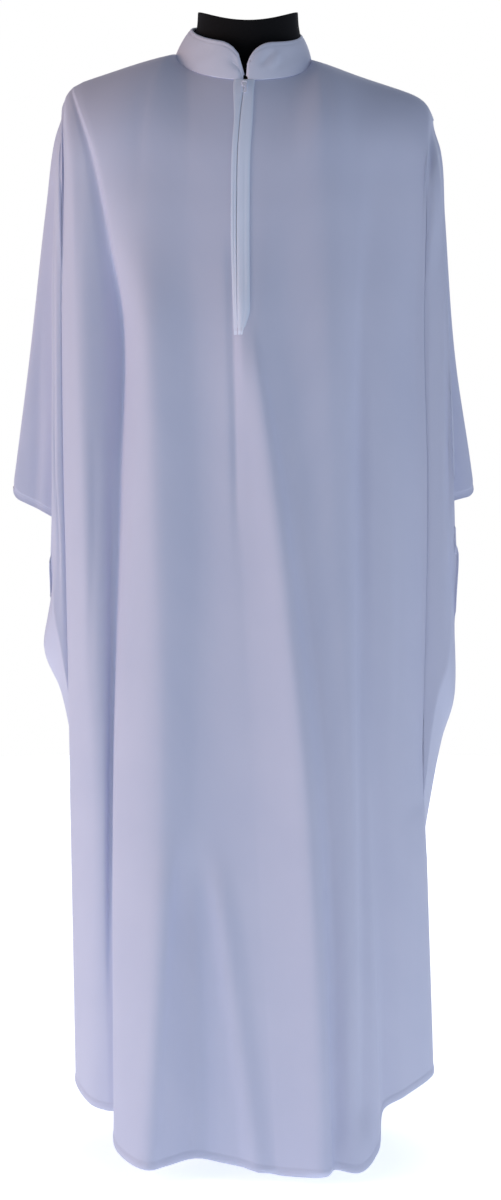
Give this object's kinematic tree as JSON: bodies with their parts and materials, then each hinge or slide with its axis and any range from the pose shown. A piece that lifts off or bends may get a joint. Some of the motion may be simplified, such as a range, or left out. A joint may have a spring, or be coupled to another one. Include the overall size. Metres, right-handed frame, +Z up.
{
  "type": "alb robe on a dress form",
  "caption": "Long white alb robe with wide hanging sleeves, stand collar and centre-front zip, on a limbless black dress form with a pole and round base.",
  "frame": {"origin": "centre of the base plate's underside", "axes": "+Z up, -Y towards the front of the robe, +X towards the wearer's left"},
  "size_m": [0.608, 0.382, 1.484],
  "materials": {
    "robe_cloth": "plain fine weave, matt with a soft sheen",
    "zip_tape": "woven tape",
    "zip_teeth": "moulded nylon coil",
    "zip_metal": "white enamel",
    "form_jersey": "black jersey cover",
    "stand_metal": "dark satin paint"
  },
  "bodies": {
    "robe_on_form": {"robe_front": "robe_cloth", "robe_back": "robe_cloth", "sleeve_left": "robe_cloth", "sleeve_right": "robe_cloth", "collar": "robe_cloth", "zip_band_left": "robe_cloth", "zip_band_right": "robe_cloth", "zip_tape": "zip_tape", "zip_chain": "zip_teeth", "zip_slider": "zip_metal", "form_torso": "form_jersey", "form_pole": "stand_metal", "form_base": "stand_metal"},
    "pull": {"zip_pull": "zip_metal"}
  },
  "joints": [
    {"name": "pull_hinge", "type": "hinge", "parent": "robe_on_form", "child": "pull", "pos_m": [-0.00418, -0.09477, 1.38628], "axis": [-1, 0, 0], "range_deg": [0, 150]}
  ]
}
